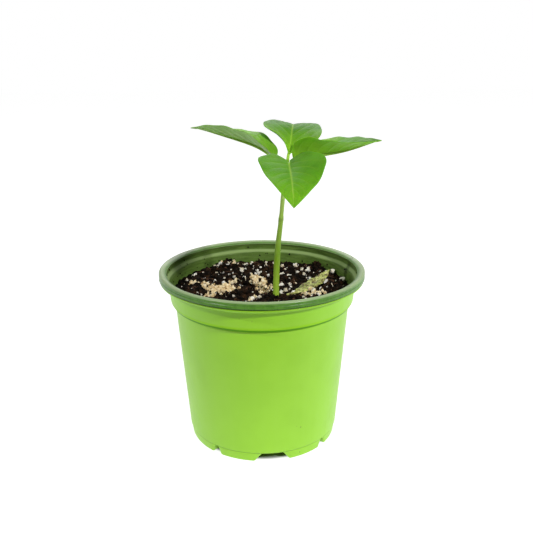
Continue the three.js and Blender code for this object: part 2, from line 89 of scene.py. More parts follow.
# Soil: the same heights and the same grains as the CAD's soil, with finer ones between them
SOIL_Z = 89.4
SOIL_FLOOR_Z = FLOOR_Z + SHEET + 0.3
WALL_GAP = 0.3
WALL_OUTSIDE = [(5.5, 44.7), (83.1, 51.2), (85.6, 53.7), (95.0, 54.6)]  # height and radius
WALL_INSIDE = [(85.3, 52.85), (95.5, 53.8), (97.7, 56.2), (101.2, 55.5)]  # the same, above the soil
SOIL_SEGMENTS = 300
SOIL_RINGS = (51.9, 0.9, 78)  # largest and least radius, and number
SOIL_ROUGH = [(0.5, 0.22, 1), (0.45, 0.6, 2), (0.3, 1.4, 3)]  # height, scale and seed of each ripple
SIDE_GAP = 0.1  # further from the wall below the surface
PERLITE = {"count": 64, "least": 0.8, "most": 1.7, "reach": 50}
GOLDEN_ANGLE = 137.5
DRAWS_PER_GRAIN = 9  # three to place and size it, and six that stretch and turn it in the CAD
PATCHES = [  # middle, spread and number
    ((-25, -2), (9, 6), 16),
    ((-30, -13), (4, 3), 4),
    ((-1, 9), (4, 14), 13),
    ((32, -9), (7, 4), 5),
]

PALE_CRUMBS = [  # middle, spread and number
    ((-24.0, -2.5), (3.8, 3.2), 260), ((-30.4, -13.0), (2.0, 1.4), 30), ((-35.0, 6.0), (1.2, 2.2), 12),
    ((-16.5, 9.5), (2.6, 1.2), 16), ((-41.0, 9.5), (2.2, 1.0), 10), ((-4.6, 17.5), (1.5, 3.2), 70),
    ((-1.0, 8.0), (1.8, 2.2), 20), ((1.0, -3.0), (2.4, 4.6), 44), ((-5.2, -17.4), (1.8, 1.0), 12),
    ((11.0, -10.0), (1.4, 1.4), 8), ((17.0, -9.6), (2.2, 1.4), 12), ((25.3, -12.6), (1.8, 1.0), 10),
    ((32.2, -11.2), (2.0, 1.0), 14), ((-22.5, 46.4), (2.2, 0.8), 16),
]
PALE_LUMPS = [  # perlite that stands out: x, y and radius
    (12.9, 36.8, 1.4), (21.3, 38.6, 1.7), (25.4, 30.2, 1.2), (29.3, 32.1, 1.3), (44.2, 25.0, 1.6),
    (38.2, 10.3, 1.7), (45.3, 8.2, 1.3), (48.6, 11.4, 1.9), (16.1, 20.4, 1.5), (11.9, 22.5, 1.2),
    (3.8, 22.7, 1.1), (-1.2, 26.9, 1.9), (-3.7, 26.9, 1.1), (-13.2, 31.3, 1.5), (-10.3, 45.4, 1.4),
    (-22.1, 46.0, 1.9), (-27.3, 44.6, 1.3), (-30.1, 37.9, 1.1), (-28.4, 10.2, 1.4), (-22.9, 9.4, 1.2),
    (2.8, 47.6, 1.0), (-13.2, 6.0, 1.1), (11.3, 3.6, 1.5), (30.1, -8.6, 1.4), (-5.5, -17.5, 1.4),
    (-1.5, -18.5, 1.3), (10.9, -10.5, 1.3), (-46.0, 14.0, 1.2),
]
PALE_SHARE = 0.7  # of the CAD's perlite grains, away from the front left
FRONT_LEFT_SHARE = 0.4  # of the perlite bits at the front left
DARK_CLODS = [(5.8, -15.2, 2.0), (9.6, -15.6, 1.8), (12.0, -13.6, 1.4), (3.6, -12.4, 1.3)]

# Loose grains: number, reach from the axis, least and largest radius, and a power (more small grains
# with a higher one)
SOIL_CRUMBS = (2300, 51.3, 0.3, 1.25, 2.1)
SOIL_CLUMPS = (420, 49.0, 1.2, 3.0, 2.2)
PERLITE_BITS = (460, 50.0, 0.25, 0.85, 1.8)
BARK_BITS = (320, 50.0, 0.3, 0.9, 1.5)
FIBRES = (90, 49, 1.5, 5.0, 2.0)
TAN_CRUMB = (0.35, 1.15)  # least and largest radius
STEM_CLEARANCE = 1.6
FALLEN_CLEARANCE = 3.6
FALLEN_REACH = 42  # from the foot of the fallen leaf's stalk to its tip
PATCH_REACH = 1.7  # spreads of a pale patch that larger clods stay off
HIDDEN_BEHIND = 3  # a clod hides what lies fewer radii than this behind it
OFF_WALL = 1.25  # distance of a grain from the wall, in its own radii
WALL_SPECKS = {"count": 70, "from": 91.5, "spread": 9, "size": (0.15, 0.5)}
HEAPS = [(-22.0, 46.0), (34.0, 38.0)]  # crumbs piled against the wall
HEAP = {"count": 110, "from": 89.8, "foot": 90.6, "rise": 3.4, "depth": 4, "size": (0.3, 0.95)}

# Stem: height, middle and radius up its length
STEM_Z = [66, 90.1, 107.1, 119.9, 132.4, 147.6, 164.7]
STEM_X = [7.9, 8.0, 8.5, 9.35, 10.8, 12.2, 14.1]
STEM_Y = [-12.3, -12.2, -11.4, -10.5, -9.6, -8.5, -7.1]
STEM_RADIUS = [1.6, 1.7, 1.75, 1.6, 1.3, 1.25, 1.45]
SCAR_Z = 134.0
STEM_TONES = (0.088, 0.166)  # heights of the first and the last tone, in metres

# Leaves. base: where the stalk leaves the stem. azimuth: 0 to the front (-Y), 90 to +X. half_width: the
# widest of the left and of the right half, looking from base to tip. outline: the half width from base
# to tip, as a share of the widest. rise: the slope of the midrib at four even places. roll and fold: at
# base, middle and tip. The left half adds left_fold and left_curl. lobe: how far the base reaches back.
LEAF_OUTLINE_AT = [0, 0.04, 0.12, 0.25, 0.42, 0.6, 0.78, 0.92, 1]
SEED_LEAF_OUTLINE_AT = [0, 0.08, 0.25, 0.5, 0.75, 0.92, 1]
LEAVES = {
    "leaf_front": dict(
        base=(14.6, -8.7, 162.4), azimuth=1.7, turn=-0.4, petiole=13.1, petiole_rise=35,
        length=41.4, half_width=(19.6, 18.1), outline=(0, 0.46, 0.73, 1, 0.89, 0.7, 0.42, 0.17, 0),
        rise=(-11.6, -13.4, -25.4, -48.2), roll=(0.4, -4.5, 10.5), fold=(36, 21.3, 12.7),
        left_fold=(6.3, -15, 4.5), curl=0.02, left_curl=-0.01, lobe=5, wave=(0.3, 3, 0.4),
    ),
    "leaf_back": dict(
        base=(14.6, -5.4, 163.9), azimuth=169.5, turn=8.8, petiole=7.9, petiole_rise=60,
        length=48.1, half_width=(18, 18.3), outline=(0, 0.49, 0.87, 1, 0.95, 0.78, 0.48, 0.17, 0),
        rise=(17.2, 33.2, -5.6, -23.6), roll=(-6.6, -6.6, -6.5), fold=(42.7, 16.1, 20),
        left_fold=(32.6, -5.7, 12.6), curl=-0.11, left_curl=0.06, lobe=1.8, wave=(0.3, 3, 2.1),
    ),
    "leaf_left": dict(
        base=(12.8, -7.1, 163), azimuth=-100.4, turn=-5, petiole=9.5, petiole_rise=41,
        length=48.9, half_width=(16.1, 15.3), outline=(0, 0.51, 0.75, 1, 0.86, 0.73, 0.47, 0.15, 0),
        rise=(45.8, 16, 13.6, 0.3), roll=(3.9, 0.2, -1.8), fold=(20.6, 18.5, 14.3),
        left_fold=(-15.7, 3.7, -0.8), curl=-0.07, left_curl=0.24, lobe=3.4, wave=(0.3, 4, 1.2),
    ),
    "leaf_right": dict(
        base=(15.8, -7.6, 163.5), azimuth=67.4, turn=-15.8, petiole=8.5, petiole_rise=41,
        length=47.7, half_width=(18.5, 15.7), outline=(0, 0.47, 0.86, 1, 0.91, 0.75, 0.44, 0.15, 0),
        rise=(23.4, 10.6, 18.1, 11.7), roll=(11.3, 6.7, -6.2), fold=(39.6, 22.4, 12.1),
        left_fold=(-8.2, 4.3, 0.2), curl=0.01, left_curl=0, lobe=5.1, wave=(0.3, 4, 0),
    ),
}
FALLEN_LEAF = dict(
    base=(19.6, -10.4, 90.6), azimuth=141.5, turn=2, petiole=0, petiole_rise=0,
    length=36.5, half_width=(4.2, 4.2), outline=(0.25, 0.55, 0.9, 1, 0.72, 0.3, 0),
    outline_at=SEED_LEAF_OUTLINE_AT, rise=(4, 3, 9, 17), roll=(-4, -8, -12), fold=(14, 10, 8),
    left_fold=(0, 0, 0), curl=-0.25, left_curl=0, lobe=0, wave=(0.5, 4, 0.7),
)
FALLEN_STALK_TO = (14.2, -13.9, 90.6)

BLADE_STEPS = (150, 90)
BLADE_THICKNESS = 0.42
FALLEN_STEPS = (90, 26)
FALLEN_THICKNESS = 0.5
DOME = 0.16  # height of the blade between its veins
VEIN_SUNK = 0.12
VEIN_RAISED = 0.14  # on the underside
VEIN_PAIRS = 6.0  # lateral veins on each side of the midrib
STALK_RADIUS = 0.95
STALK_FLARE = 0.4
RIB_END = 0.9  # share of the blade that the midrib stands out under

# Floor, sky and lights, in metres, degrees and watts. The lights stand LIGHT_AWAY from the pot.
FLOOR_HALF = 3.0
FLOOR_GLOW = (-0.2, -0.11, 0.05, 0.95)  # sets in and is full along Y, and its strengths there
UNDER_POT_SHADOW = (0.039, 0.0425)  # distances from the pot's axis where the glow sets in and is full; no glow under the pot is a painted shadow
SKY = {"low": 1.0, "behind": 0.3, "front": 0.02}
SKY_EDGES = {"behind": (-0.2, 0.4), "low": (0.1, 0.2), "overhead": (0.75, 0.95)}  # along Y, Z and Z
LIGHT_AWAY = 1.2
LIGHT_TARGET_Z = 0.09
LIGHTS = {  # azimuth, elevation, (width, height) and power
    "key_left": (-57, 40, (0.06, 0.06), 4.9),
    "key_right": (42, 33, (0.12, 0.12), 9.6),
    "low_right": (104, -4, (0.6, 0.1), 1.8),
    "panel_back": (178, 34, (0.7, 0.4), 2.4),
}
# Camera, in mm and degrees
CAMERA = {"distance": 401.1, "height": 230.9, "pitch": 17.66, "yaw": 0.39, "roll": 0.367}
FOCAL_PIXELS = 717.66
FRAME_PIXELS = 533

# ---------- numbers and curves


def smooth_through(places, values, x):
    """Smooth curve through the values at the given places, for an array of x."""
    xs = np.asarray(places, float)
    ys = np.asarray(values, float)
    last = len(xs) - 1
    ahead = np.minimum(np.arange(len(xs)) + 1, last)
    back = np.maximum(np.arange(len(xs)) - 1, 0)
    slope = (ys[ahead] - ys[back]) / (xs[ahead] - xs[back])
    i = np.clip(np.searchsorted(xs, x, side="right") - 1, 0, last - 1)
    h = xs[i + 1] - xs[i]
    s = (x - xs[i]) / h
    return (
        (2 * s**3 - 3 * s**2 + 1) * ys[i]
        + (s**3 - 2 * s**2 + s) * h * slope[i]
        + (3 * s**2 - 2 * s**3) * ys[i + 1]
        + (s**3 - s**2) * h * slope[i + 1]
    )


def through_even(values, t):
    """The polynomial that goes through the values at even places from 0 to 1."""
    places = np.linspace(0, 1, len(values))
    return np.polyval(np.polyfit(places, values, len(values) - 1), t)


def smoothstep(x, low, high):
    s = np.clip((x - low) / (high - low), 0, 1)
    return s * s * (3 - 2 * s)


def bell(x, middle, reach):
    return np.exp(-(((x - middle) / reach) ** 2))


def unit(vectors):
    return vectors / np.maximum(np.linalg.norm(vectors, axis=-1, keepdims=True), 1e-9)


def ripple(points, scale, seed):
    """Smooth noise from about -1 to 1 at each point, with bumps about 1 / scale mm apart."""
    shift = Vector((seed * 17.3, seed * 5.1, seed * 9.7))
    return np.array([noise.noise(Vector(point) * scale + shift) for point in points])


# ---------- meshes


def new_mesh(name, points, faces):
    """Mesh from points in mm."""
    mesh = bpy.data.meshes.new(name)
    mesh.from_pydata((np.asarray(points) * MM).tolist(), [], faces)
    return mesh


def put(data):
    """Object in the scene for a mesh, a light or the camera."""
    thing = bpy.data.objects.new(data.name, data)
    bpy.context.scene.collection.objects.link(thing)
    return thing


def make_piece(name, points, faces, material, slot, smooth=True):
    """Mesh object from points in mm, riding on the plant's one body."""
    mesh = new_mesh(name, points, faces)
    mesh.polygons.foreach_set("use_smooth", [smooth] * len(mesh.polygons))
    mesh.materials.append(material)
    mesh.update()
    piece = put(mesh)
    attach(piece, "root")
    return piece


def store(piece, name, values):
    """A number at each vertex, which the materials read by name."""
    layer = piece.data.attributes.new(name, "FLOAT", "POINT")
    layer.data.foreach_set("value", np.asarray(values, dtype=np.float32).ravel())


def grid_faces(rows, columns, first=0, closed=False):
    """Quads over a grid of points, listed row by row. closed joins the last column to the first."""
    faces = []
    for i in range(rows - 1):
        a = first + i * columns
        for j in range(columns if closed else columns - 1):
            k = (j + 1) % columns
            faces.append((a + j, a + k, a + columns + k, a + columns + j))
    return faces


def ring_faces(rings, sides):
    """Faces of a closed body: a point, rings of points, and a point at the other end."""
    faces = grid_faces(rings, sides, 1, True)
    last = rings * sides + 1
    for j in range(sides):
        k = (j + 1) % sides
        faces += [(0, 1 + k, 1 + j), (last, last - sides + j, last - sides + k)]
    return faces


def joined(bodies):
    """Points and faces of many bodies as those of one."""
    points = []
    faces = []
    total = 0
    for body, body_faces in bodies:
        points.append(body)
        faces += [[i + total for i in face] for face in body_faces]
        total += len(body)
    return np.vstack(points), faces


def rod_mesh(centres, radii, sides, section=None):
    """Closed tapered rod along the centres. section scales the radius round it, from its upper side."""
    end_bulge = 0.4
    along = unit(np.gradient(centres, axis=0))
    guide = UP if abs(along[0][2]) < 0.9 else np.array([0.0, -1.0, 0.0])
    across = np.empty_like(centres)
    for i, direction in enumerate(along):
        guide = unit(guide - direction * guide.dot(direction))
        across[i] = guide
    other = np.cross(along, across)
    angle = np.linspace(0, 2 * np.pi, sides, endpoint=False)
    reach = np.outer(radii, np.ones(sides) if section is None else section(angle))
    ring = across[:, None] * np.cos(angle)[None, :, None] + other[:, None] * np.sin(angle)[None, :, None]
    body = (centres[:, None] + ring * reach[..., None]).reshape(-1, 3)
    start = centres[0] - along[0] * radii[0] * end_bulge
    end = centres[-1] + along[-1] * radii[-1] * end_bulge
    return np.vstack([start, body, end]), ring_faces(len(centres), sides)


def cut(piece, cutters):
    """Cuts the mesh of one object out of the piece, and removes the cutter."""
    modifier = piece.modifiers.new("cut", "BOOLEAN")
    modifier.operation = "DIFFERENCE"
    modifier.solver = "MANIFOLD"
    modifier.object = cutters
    evaluated = piece.evaluated_get(bpy.context.evaluated_depsgraph_get())
    piece.data = bpy.data.meshes.new_from_object(evaluated)
    piece.modifiers.clear()
    bpy.data.objects.remove(cutters)


# ---------- materials


def rgb(red, green, blue):
    """An sRGB colour from 0 to 255, as linear light."""
    shares = [value / 255 for value in (red, green, blue)]
    return [s / 12.92 if s <= 0.04045 else ((s + 0.055) / 1.055) ** 2.4 for s in shares] + [1.0]


class Nodes:
    """A node tree, and short ways to add nodes to it."""

    def __init__(self, tree):
        self.tree = tree

    def add(self, kind, inputs=None, **settings):
        """A node with its settings, and with numbers or sockets fed to its inputs."""
        node = self.tree.nodes.new("ShaderNode" + kind)
        for key, value in settings.items():
            setattr(node, key, value)
        for key, value in (inputs or {}).items():
            self.feed(node.inputs[key], value)
        return node

    def feed(self, target, value):
        if isinstance(value, bpy.types.NodeSocket):
            self.tree.links.new(value, target)
        else:
            target.default_value = value

    def math(self, operation, a, b=0.0):
        return self.add("Math", {0: a, 1: b}, operation=operation).outputs[0]

    def times(self, a, b):
        return self.math("MULTIPLY", a, b)

    def ranged(self, value, low, high, to_low=0.0, to_high=1.0):
        """The value eased from to_low at low to to_high at high."""
        inputs = {"Value": value, "From Min": low, "From Max": high, "To Min": to_low, "To Max": to_high}
        return self.add("MapRange", inputs, interpolation_type="SMOOTHSTEP").outputs["Result"]


class Paint(Nodes):
    """One material, with colours and reliefs that lie on the object."""

    def __init__(self, name):
        self.material = bpy.data.materials.new(name)
        self.material.use_nodes = True
        super().__init__(self.material.node_tree)
        self.shader = self.tree.nodes["Principled BSDF"]
        self.place = self.add("TexCoord").outputs["Object"]

    def noise(self, scale, detail=4.0, roughness=0.55, stretch=(1.0, 1.0, 1.0)):
        """Noise from 0 to 1 with about scale bumps per mm. stretch scales it along each axis."""
        scales = [scale / MM * share for share in stretch]
        place = self.add("Mapping", {"Scale": scales, "Vector": self.place}).outputs["Vector"]
        inputs = {"Scale": 1.0, "Detail": detail, "Roughness": roughness, "Vector": place}
        return self.add("TexNoise", inputs).outputs["Fac"]

    def cells(self, scale, feature="F1"):
        """Distance from the middles, or from the edges, of cells about 1 / scale mm wide."""
        inputs = {"Scale": scale / MM, "Vector": self.place}
        return self.add("TexVoronoi", inputs, feature=feature).outputs["Distance"]

    def attribute(self, name):
        return self.add("Attribute", attribute_name=name).outputs["Fac"]

    def position(self, axis):
        """Place along one axis in metres."""
        return self.add("SeparateXYZ", {0: self.place}).outputs[axis]

    def off_axis(self):
        """Distance from the pot's upright axis in metres."""
        x = self.position("X")
        y = self.position("Y")
        return self.math("SQRT", self.math("ADD", self.times(x, x), self.times(y, y)))

    def line_at(self, height, reach, most=1.0, full=0.4):
        """The most at a height, eased to 0 a reach away, in mm, from a full share of that reach on."""
        off = self.math("ABSOLUTE", self.math("SUBTRACT", self.position("Z"), height * MM))
        return self.ranged(off, reach * MM * full, reach * MM, most, 0.0)

    def coat(self, colour, *layers):
        """The colour under further layers, each a share and an sRGB colour."""
        for share, shade in layers:
            inputs = {"Factor": share, 6: colour, 7: rgb(*shade)}
            colour = self.add("Mix", inputs, data_type="RGBA").outputs[2]
        return colour

    def ramp(self, value, *stops):
        """Colours along a value. stops are places and sRGB colours."""
        node = self.add("ValToRGB", {"Fac": value})
        elements = node.color_ramp.elements
        while len(elements) < len(stops):
            elements.new(1.0)
        for element, (position, shade) in zip(elements, stops):
            element.position = position
            element.color = rgb(*shade)
        return node.outputs["Color"]

    def bump(self, height, strength, distance):
        """Normal raised by a height. distance is its depth in mm."""
        inputs = {"Strength": strength, "Distance": distance * MM, "Height": height}
        return self.add("Bump", inputs).outputs["Normal"]

    def finish(self, colour, roughness, normal=None, **others):
        """The material, with further inputs of its shader named with _ for a space."""
        inputs = {"Base_Color": colour, "Roughness": roughness, **others}
        if normal:
            inputs["Normal"] = normal
        for key, value in inputs.items():
            self.feed(self.shader.inputs[key.replace("_", " ")], value)
        return self.material


def lime_plastic():
    """Outside of the pot: lime green, with a soft sheen, faint draw marks, scuffs and dirt spots, and
    painted shade in the groove under the collar and along the crease above the feet.
    """
    p = Paint("lime_plastic")
    draw = p.noise(0.2, 3, stretch=(1.0, 1.0, 0.05))
    scuff = p.noise(0.5, 6, 0.7, stretch=(1.0, 1.0, 0.4))
    colour = p.coat(
        rgb(146, 206, 34),
        (p.ranged(p.noise(0.05, 2), 0.35, 0.65), (150, 210, 38)),
        (p.ranged(draw, 0.4, 0.75, 0.0, 0.15), (160, 214, 62)),
        (p.ranged(scuff, 0.62, 0.76, 0.0, 0.12), (190, 218, 130)),
        (p.ranged(p.noise(0.16, 2), 0.755, 0.775, 0.0, 0.8), (86, 96, 40)),
        # painted shade: dark lines in the groove under the collar and along the crease above the feet
        (p.line_at(GROOVE_SHADE_Z, 1.3, 0.9), (70, 140, 0)),
        (p.line_at(FOOT_CREASE_SHADE_Z, 0.5, 0.5), (100, 150, 14)),
    )
    height = p.math("ADD", p.times(draw, 0.4), p.times(p.noise(2.0, 3), 0.08))
    sheen = p.math("SUBTRACT", 0.5, p.line_at(COLLAR_SHADE_Z, 2.6, 0.45))
    rough = p.ranged(scuff, 0.4, 0.8, 0.38, 0.5)
    return p.finish(colour, rough, p.bump(height, 0.15, 0.1), Specular_IOR_Level=sheen, IOR=1.49)


def lip_green():
    """Outside of the lip: dark green, with a painted sheen of pale grey green along its crown and painted
    shade in the gap under its edge.
    """
    p = Paint("lip_green")
    fine = p.noise(1.1, 5, 0.65)
    colour = p.coat(
        rgb(72, 124, 28),
        (p.ranged(p.noise(0.3, 4), 0.35, 0.65), (88, 142, 38)),
        # painted shade in the gap under the lip's outer edge
        (p.line_at(LIP_GAP_SHADE_Z, 0.4), (30, 50, 12)),
        # painted sheen: pale grey green along the crown
        (p.ranged(p.position("Z"), *OUTER_CROWN_SHEEN, 0.0, 0.9), (176, 196, 148)),
        (p.ranged(fine, 0.5, 0.74, 0.0, 0.3), (128, 146, 98)),
    )
    return p.finish(colour, p.ranged(fine, 0.3, 0.7, 0.26, 0.42), p.bump(fine, 0.25, 0.15), IOR=1.5)


def inside_green():
    """Inside of the pot: olive green, paler on the ledge as a painted highlight and on the crown as a
    painted sheen, with some dust.
    """
    p = Paint("inside_green")
    fine = p.noise(1.1, 5, 0.65)
    streak = p.noise(0.9, 4, stretch=(0.12, 0.12, 1.0))
    colour = p.coat(
        rgb(80, 106, 42),
        (p.ranged(streak, 0.35, 0.65), (102, 130, 58)),
        # painted highlight along the ledge
        (p.line_at(LEDGE_HIGHLIGHT_Z, 1.0, 0.65), (166, 190, 124)),
        # painted sheen along the crown
        (p.ranged(p.position("Z"), *INNER_CROWN_SHEEN, 0.0, 0.9), (172, 190, 146)),
        (p.ranged(fine, 0.5, 0.74, 0.0, 0.35), (130, 142, 96)),
    )
    normal = p.bump(p.math("ADD", streak, p.noise(0.5, 4)), 0.25, 0.15)
    rough = p.ranged(fine, 0.3, 0.7, 0.28, 0.46)
    return p.finish(colour, rough, normal, Specular_IOR_Level=0.25, IOR=1.49)


def flesh(weight, blue, reach):
    """Light that spreads under the skin: its weight, its share of blue, and its reach in mm."""
    radius = (0.6, 1.0, blue)
    return {"Subsurface_Weight": weight, "Subsurface_Radius": radius, "Subsurface_Scale": reach * MM}


def leaf_green(name, base, middle, tip, below):
    """Leaf blade: satin green that changes from base to tip, with paler veins and a greyer underside."""
    p = Paint(name)
    reach = p.attribute("reach")
    off_vein = p.math("ABSOLUTE", p.math("SUBTRACT", p.math("FRACT", p.attribute("lateral")), 0.5))
    width = p.ranged(reach, 0.0, 1.0, 0.06, 0.025)
    lateral = p.ranged(p.math("DIVIDE", off_vein, width), 0.0, 1.0, 1.0, 0.0)
    lateral = p.times(lateral, p.ranged(reach, 0.4, 1.0, 0.6, 0.0))
    patch = p.noise(0.16, 4, 0.6)
    grain = p.noise(1.4, 4, 0.65)
    net = p.cells(0.55, "DISTANCE_TO_EDGE")
    colour = p.coat(
        p.ramp(p.attribute("along"), (0.06, base), (0.42, middle), (0.95, tip)),
        (p.ranged(patch, 0.42, 0.72, 0.0, 0.35), (60, 118, 12)),
        (p.ranged(grain, 0.35, 0.7, 0.0, 0.26), (124, 170, 56)),
        (p.ranged(off_vein, 0.0, 0.3, 0.22, 0.0), (116, 168, 34)),
        (p.ranged(net, 0.0, 0.09, 0.1, 0.0), (134, 180, 60)),
        (p.times(p.attribute("under"), 0.65), below),
        (p.times(lateral, 0.6), (158, 204, 62)),
        (p.times(p.attribute("rib"), 0.6), (180, 218, 84)),
    )
    height = p.math("ADD", p.times(grain, 0.5), p.ranged(net, 0.0, 0.2))
    height = p.math("ADD", height, p.times(patch, 1.5))
    rough = p.ranged(grain, 0.3, 0.7, 0.42, 0.56)
    return p.finish(colour, rough, p.bump(height, 0.4, 0.14), IOR=1.36, **flesh(0.35, 0.15, 1.0))


def stem_green():
    """Stem: saturated green low down, pale grey green at the top, with fine lengthwise streaks. The low end
    and the top are partly painted light, lightened where the pot and the leaves shade them.
    """
    p = Paint("stem_green")
    streak = p.noise(1.5, 4, stretch=(1.0, 1.0, 0.07))
    spots = p.noise(2.0, 5, 0.7)
    # the first and the last tone are partly painted light: lighter where the pot and the leaves shade the
    # stem
    tones = ((0.0, (170, 208, 60)), (0.25, (122, 164, 26)), (0.6, (142, 178, 62)), (1.0, (174, 204, 108)))
    colour = p.coat(
        p.ramp(p.ranged(p.position("Z"), *STEM_TONES), *tones),
        (p.ranged(streak, 0.4, 0.7, 0.0, 0.45), (164, 190, 92)),
        (p.ranged(spots, 0.56, 0.72, 0.0, 0.5), (80, 112, 34)),
        (p.line_at(SCAR_Z, 1.6, 0.4, 0.0), (100, 120, 56)),
    )
    normal = p.bump(p.math("ADD", streak, p.times(spots, 0.4)), 0.4, 0.15)
    return p.finish(colour, 0.42, normal, IOR=1.42, **flesh(0.15, 0.3, 1.0))


def stalk_green():
    """Leaf stalks and midribs: yellow green."""
    p = Paint("stalk_green")
    streak = p.noise(1.2, 4)
    colour = p.coat(rgb(152, 202, 58), (p.ranged(streak, 0.35, 0.65), (174, 216, 84)))
    return p.finish(colour, 0.45, p.bump(streak, 0.3, 0.12), IOR=1.42, **flesh(0.15, 0.3, 0.8))


def dry_leaf():
    """Withered seed leaf: pale yellow green, mottled with brown specks and streaks."""
    p = Paint("dry_leaf")
    speck = p.noise(0.7, 6, 0.74)
    colour = p.coat(
        rgb(172, 188, 78),
        (p.ranged(p.noise(0.4, 4), 0.35, 0.65), (224, 222, 142)),
        (p.times(p.attribute("rib"), 0.4), (228, 230, 160)),
        (p.ranged(p.noise(0.45, 4, 0.6), 0.49, 0.57, 0.0, 0.8), (104, 78, 34)),
        (p.ranged(speck, 0.51, 0.59, 0.0, 0.9), (70, 50, 20)),
    )
    return p.finish(colour, 0.6, p.bump(speck, 0.7, 0.35))


def peat():
    """Moist peat: near black brown, matte, with redder and greyer crumbs."""
    p = Paint("peat")
    fine = p.noise(1.8, 5, 0.7)
    clods = p.noise(0.24, 5, 0.62)
    colour = p.coat(
        p.ramp(clods, (0.25, (6, 3, 2)), (0.5, (20, 13, 7)), (0.66, (64, 42, 25)), (0.85, (140, 102, 68))),
        (p.ranged(fine, 0.64, 0.78, 0.0, 0.4), (112, 80, 52)),
    )
    return p.finish(colour, 0.9, p.bump(fine, 0.9, 0.5), Specular_IOR_Level=0.12)


def perlite_white():
    """Expanded volcanic glass: off-white, matte, full of pores."""
    p = Paint("perlite_white")
    pores = p.cells(1.4)
    colour = p.coat(
        rgb(250, 246, 236),
        (p.ranged(p.noise(0.3, 3), 0.4, 0.65), (222, 206, 176)),
        (p.ranged(pores, 0.0, 0.25, 0.3, 0.0), (128, 110, 84)),
    )
    return p.finish(colour, 0.8, p.bump(pores, 0.5, 0.3))


def tan_grit():
    """Light crumbs: cream to ochre grit, some of it darker."""
    p = Paint("tan_grit")
    dark = ((0.3, (140, 102, 56)), (0.42, (222, 192, 138)))
    pale = ((0.56, (250, 232, 194)), (0.75, (255, 250, 236)))
    colour = p.ramp(p.noise(0.45, 4, 0.6), *dark, *pale)
    return p.finish(colour, 0.85, p.bump(p.noise(1.5, 4), 0.6, 0.3))


def bark_brown():
    """Bark chips and fibres: warm brown with a fine grain."""
    p = Paint("bark_brown")
    grain = p.noise(0.8, 5, 0.65)
    colour = p.ramp(grain, (0.3, (40, 23, 13)), (0.55, (86, 52, 28)), (0.8, (150, 104, 62)))
    return p.finish(colour, 0.8, p.bump(grain, 0.6, 0.3))


# ---------- pot


def fillet(corners):
    """Points along (radius, height, fillet) corners, with each corner rounded and no long steps."""
    degrees_per_step = 15
    longest = 3.5
    spots = [np.array(corner[:2], float) for corner in corners]
    line = [spots[0]]
    for before, here, after, corner in zip(spots, spots[1:], spots[2:], corners[1:]):
        back = unit(before - here)
        ahead = unit(after - here)
        between = math.acos(float(np.clip(back.dot(ahead), -1, 1)))
        reach = corner[2] / math.tan(between / 2)
        steps = max(2, math.ceil(math.degrees(math.pi - between) / degrees_per_step))
        for s in np.linspace(0, 1, steps + 1):
            from_start = (1 - s) ** 2 * (here + back * reach)
            line.append(from_start + 2 * s * (1 - s) * here + s**2 * (here + ahead * reach))
    line.append(spots[-1])
    result = [line[0]]
    for a, b in zip(line, line[1:]):
        pieces = math.ceil(np.linalg.norm(b - a) / longest)
        result += [a + (b - a) * i / pieces for i in range(1, pieces + 1)]
    return np.array(result)


def notch_share(angle):
    """1 over the middle of a notch and 0 over a foot, for angles in radians from the front."""
    pitch = 2 * np.pi / NOTCH["count"]
    places = (angle - math.radians(NOTCH["first"])) / pitch
    nearest = np.round(places)
    wide = nearest % WIDE_EVERY == 0
    top, foot = (np.where(wide, WIDE_NOTCH[key], NARROW_NOTCH[key]) for key in ("top", "foot"))
    off_middle = np.abs(places - nearest) * pitch * NOTCH["radius"]
    share = (foot / 2 - off_middle) / (foot - top) * 2
    soft = 0.14
    eased = np.clip(share, 0, 1)
    eased = np.where(np.abs(share) < soft, (share + soft) ** 2 / (4 * soft), eased)
    return np.where(np.abs(share - 1) < soft, 1 - (1 - share + soft) ** 2 / (4 * soft), eased)


def drain_slots():
    """Round-ended prisms through the floor, one behind each wide notch."""
    half = DRAIN["width"] / 2
    round_end = DRAIN["depth"] / 2
    arc = np.radians(np.linspace(-90, 90, 12))
    right = np.stack([half - round_end + round_end * np.cos(arc), round_end * np.sin(arc)], axis=1)
    outline = np.vstack([right, -right]) - [0, DRAIN["radius"]]
    count = len(outline)
    ends = [list(reversed(range(count))), list(range(count, 2 * count))]
    bodies = []
    for i in range(0, NOTCH["count"], WIDE_EVERY):
        turn = math.radians(NOTCH["first"] + 360 * i / NOTCH["count"])
        x = outline[:, 0] * math.cos(turn) - outline[:, 1] * math.sin(turn)
        y = outline[:, 0] * math.sin(turn) + outline[:, 1] * math.cos(turn)
        levels = [np.stack([x, y, np.full(count, z)], axis=1) for z in DRAIN_CUT]
        bodies.append((np.vstack(levels), ends + grid_faces(2, count, 0, True)))
    return put(new_mesh("drain_slots", *joined(bodies)))


